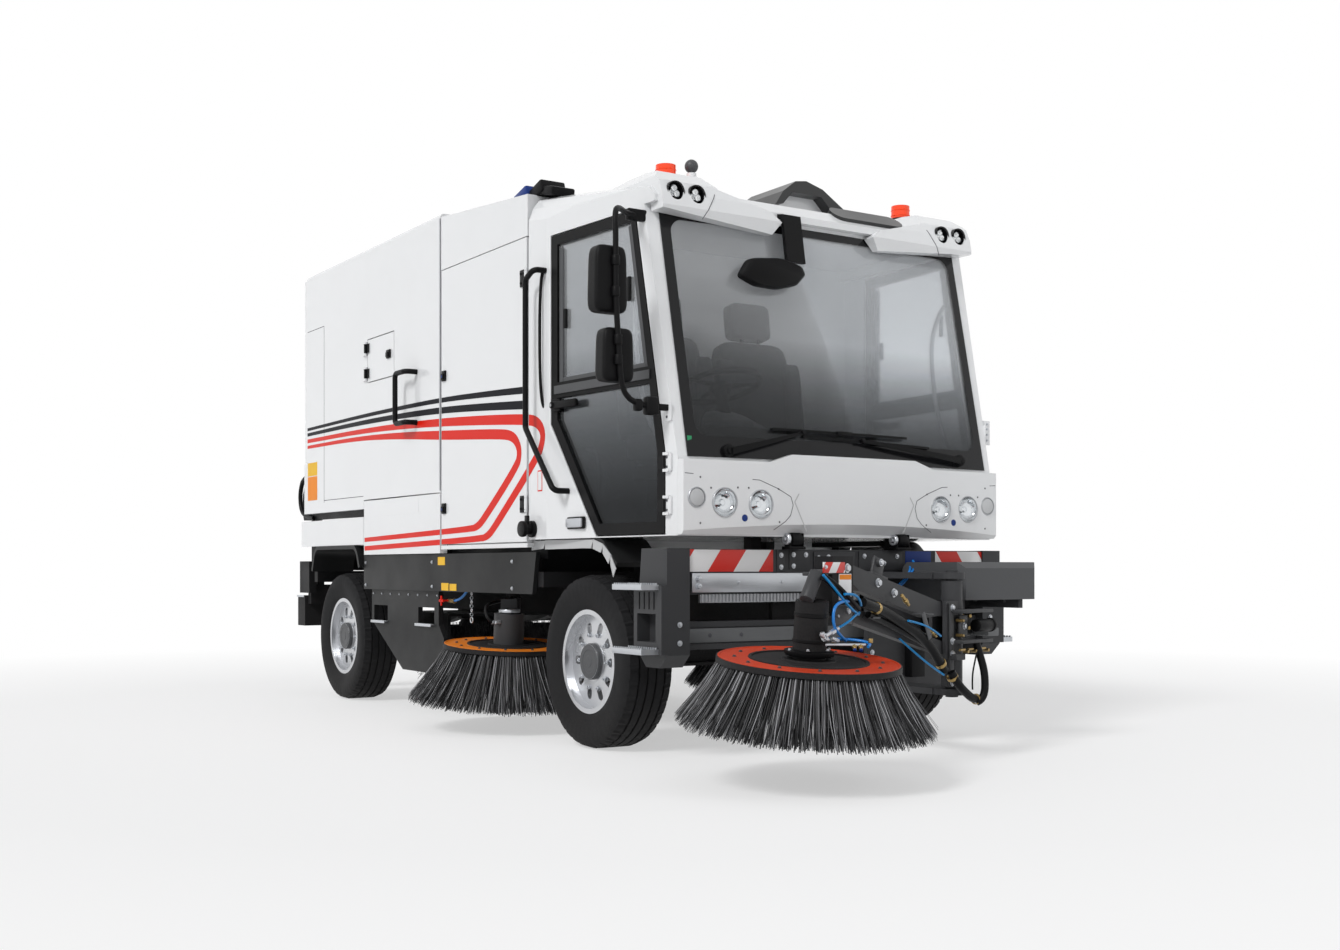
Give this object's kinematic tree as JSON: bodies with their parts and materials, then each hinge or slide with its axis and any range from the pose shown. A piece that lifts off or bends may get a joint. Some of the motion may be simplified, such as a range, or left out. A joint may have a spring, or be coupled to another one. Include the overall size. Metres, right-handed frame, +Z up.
{
  "type": "street sweeper truck",
  "caption": "Two-axle street sweeper truck: forward cab, engine housing, tipping hopper, two side brushes, a brush on a front linkage arm and a broom under the frame",
  "frame": {"origin": "on the ground under the middle of the overall length and width", "axes": "+X forward, +Y to the vehicle's left, +Z up"},
  "size_m": [6.3712, 2.9596, 3],
  "materials": {
    "white_paint": "gloss white paint",
    "dark_paint": "satin dark grey powder coat",
    "chassis_paint": "black chassis paint",
    "tyre": "matte black tread rubber",
    "rim_alloy": "machined and silver painted",
    "glass": "tinted safety glass",
    "bristle": "dark grey bristles on an orange disc",
    "black_plastic": "textured black plastic",
    "zinc": "zinc plated steel",
    "lens": "clear lens over a reflector",
    "beacon": "orange red lens",
    "seat_cloth": "dark woven cloth",
    "cast_metal": "bare cast metal",
    "inner_plastic": "grey moulded trim"
  },
  "bodies": {
    "chassis": {"arm_base": "dark_paint", "arm_cover": "dark_paint", "arm_posts": "chassis_paint", "beacons": "beacon", "body_bearers": "chassis_paint", "broom_housing": "chassis_paint", "cab_body": "white_paint", "cab_roof": "white_paint", "chassis_frame": "chassis_paint", "dashboard": "inner_plastic", "engine": "cast_metal", "fenders": "dark_paint", "front_axle": "chassis_paint", "front_beam": "dark_paint", "front_panel": "white_paint", "grab_bars": "black_plastic", "lamps": "lens", "leaf_springs": "chassis_paint", "lower_panels": "white_paint", "mid_body": "white_paint", "mirrors": "black_plastic", "rear_axle": "chassis_paint", "rear_bumper": "chassis_paint", "roof_unit": "dark_paint", "seats": "seat_cloth", "side_guards": "dark_paint", "step_treads": "zinc", "tow_jaw": "chassis_paint", "windshield": "glass", "wipers": "black_plastic"},
    "knuckle_right": {"knuckle_right": "chassis_paint"},
    "knuckle_left": {"knuckle_left": "chassis_paint"},
    "wheel_front_right": {"tyre_front_right": "tyre", "rim_front_right": "rim_alloy"},
    "wheel_front_left": {"tyre_front_left": "tyre", "rim_front_left": "rim_alloy"},
    "wheel_rear_right": {"tyre_rear_right": "tyre", "rim_rear_right": "rim_alloy"},
    "wheel_rear_left": {"tyre_rear_left": "tyre", "rim_rear_left": "rim_alloy"},
    "cab_door_right": {"cab_door_right": "black_plastic", "door_glass_right": "glass"},
    "cab_door_left": {"cab_door_left": "black_plastic", "door_glass_left": "glass"},
    "service_door_right": {"service_door_right": "white_paint"},
    "service_door_left": {"service_door_left": "white_paint"},
    "hopper": {"hopper": "white_paint", "hopper_frame": "black_plastic"},
    "tailgate": {"tailgate": "white_paint"},
    "hatch": {"hopper_hatch": "white_paint"},
    "swing_post": {"swing_post": "dark_paint"},
    "upper_link": {"upper_link": "dark_paint"},
    "lower_link": {"lower_link": "dark_paint"},
    "brush_head": {"brush_head": "dark_paint"},
    "front_brush": {"front_brush": "bristle"},
    "side_arm_right": {"side_arm_right": "dark_paint"},
    "side_arm_left": {"side_arm_left": "dark_paint"},
    "side_brush_right": {"side_brush_right": "bristle"},
    "side_brush_left": {"side_brush_left": "bristle"},
    "main_broom": {"main_broom": "bristle"}
  },
  "joints": [
    {"name": "steer_right", "type": "hinge", "parent": "chassis", "child": "knuckle_right", "pos_m": [1.06, -0.785, 0.4335], "axis": [0, 0, 1], "range_deg": [-30, 30]},
    {"name": "wheel_front_right_spin", "type": "hinge", "parent": "knuckle_right", "child": "wheel_front_right", "pos_m": [1.06, -0.925, 0.4335], "axis": [0, 1, 0], "continuous": true},
    {"name": "wheel_rear_right_spin", "type": "hinge", "parent": "chassis", "child": "wheel_rear_right", "pos_m": [-2.32, -0.925, 0.4335], "axis": [0, 1, 0], "continuous": true},
    {"name": "cab_door_right_hinge", "type": "hinge", "parent": "chassis", "child": "cab_door_right", "pos_m": [1.728, -1.009, 1.3], "axis": [0, 0, 1], "range_deg": [0, 65]},
    {"name": "service_door_right_hinge", "type": "hinge", "parent": "chassis", "child": "service_door_right", "pos_m": [0.497, -1.088, 1.8], "axis": [0, 0, 1], "range_deg": [0, 85]},
    {"name": "side_arm_right_swing", "type": "hinge", "parent": "chassis", "child": "side_arm_right", "pos_m": [-0.53, -0.64, 0.6], "axis": [0, 0, -1], "range_deg": [0, 18]},
    {"name": "side_brush_right_spin", "type": "hinge", "parent": "side_arm_right", "child": "side_brush_right", "pos_m": [-0.02, -0.93, 0.47], "axis": [0.0698, 0, 0.9976], "continuous": true},
    {"name": "steer_left", "type": "hinge", "parent": "chassis", "child": "knuckle_left", "pos_m": [1.06, 0.785, 0.4335], "axis": [0, 0, 1], "range_deg": [-30, 30]},
    {"name": "wheel_front_left_spin", "type": "hinge", "parent": "knuckle_left", "child": "wheel_front_left", "pos_m": [1.06, 0.925, 0.4335], "axis": [0, 1, 0], "continuous": true},
    {"name": "wheel_rear_left_spin", "type": "hinge", "parent": "chassis", "child": "wheel_rear_left", "pos_m": [-2.32, 0.925, 0.4335], "axis": [0, 1, 0], "continuous": true},
    {"name": "cab_door_left_hinge", "type": "hinge", "parent": "chassis", "child": "cab_door_left", "pos_m": [1.728, 1.009, 1.3], "axis": [0, 0, -1], "range_deg": [0, 65]},
    {"name": "service_door_left_hinge", "type": "hinge", "parent": "chassis", "child": "service_door_left", "pos_m": [0.497, 1.088, 1.8], "axis": [0, 0, -1], "range_deg": [0, 85]},
    {"name": "side_arm_left_swing", "type": "hinge", "parent": "chassis", "child": "side_arm_left", "pos_m": [-0.53, 0.64, 0.6], "axis": [0, 0, 1], "range_deg": [0, 18]},
    {"name": "side_brush_left_spin", "type": "hinge", "parent": "side_arm_left", "child": "side_brush_left", "pos_m": [-0.02, 0.93, 0.47], "axis": [0.0698, 0, 0.9976], "continuous": true},
    {"name": "hopper_tip", "type": "hinge", "parent": "chassis", "child": "hopper", "pos_m": [-3.075, 0, 1.32], "axis": [0, -1, 0], "range_deg": [0, 48]},
    {"name": "tailgate_swing", "type": "hinge", "parent": "hopper", "child": "tailgate", "pos_m": [-2.998, 0, 2.974], "axis": [0, 1, 0], "range_deg": [0, 80]},
    {"name": "hatch_swing", "type": "hinge", "parent": "hopper", "child": "hatch", "pos_m": [-1.772, -1.0905, 2.257], "axis": [0, 0, -1], "range_deg": [0, 105]},
    {"name": "front_arm_swing", "type": "hinge", "parent": "chassis", "child": "swing_post", "pos_m": [2.32, 0.23, 0.6], "axis": [0, 0, 1], "range_deg": [-6, 80]},
    {"name": "front_arm_lift", "type": "hinge", "parent": "swing_post", "child": "upper_link", "pos_m": [2.34737, 0.13903, 0.7], "axis": [0.9576, 0.2881, 0], "range_deg": [-8, 11]},
    {"name": "lower_link_turn", "type": "hinge", "parent": "swing_post", "child": "lower_link", "pos_m": [2.34737, 0.13903, 0.52], "axis": [0.9576, 0.2881, 0], "range_deg": [-8, 11]},
    {"name": "brush_head_level", "type": "hinge", "parent": "upper_link", "child": "brush_head", "pos_m": [2.59747, -0.69216, 0.9], "axis": [0.9576, 0.2881, 0], "range_deg": [-11, 8]},
    {"name": "front_brush_spin", "type": "hinge", "parent": "brush_head", "child": "front_brush", "pos_m": [2.66, -0.9, 0.52], "axis": [0.0976, 0, 0.9952], "continuous": true},
    {"name": "main_broom_spin", "type": "hinge", "parent": "chassis", "child": "main_broom", "pos_m": [-1.29, 0, 0.3], "axis": [0, 1, 0], "continuous": true}
  ],
  "couplings": [
    {"joint": "steer_left", "follows": "steer_right", "ratio": 1},
    {"joint": "lower_link_turn", "follows": "front_arm_lift", "ratio": 1},
    {"joint": "brush_head_level", "follows": "front_arm_lift", "ratio": -1}
  ]
}
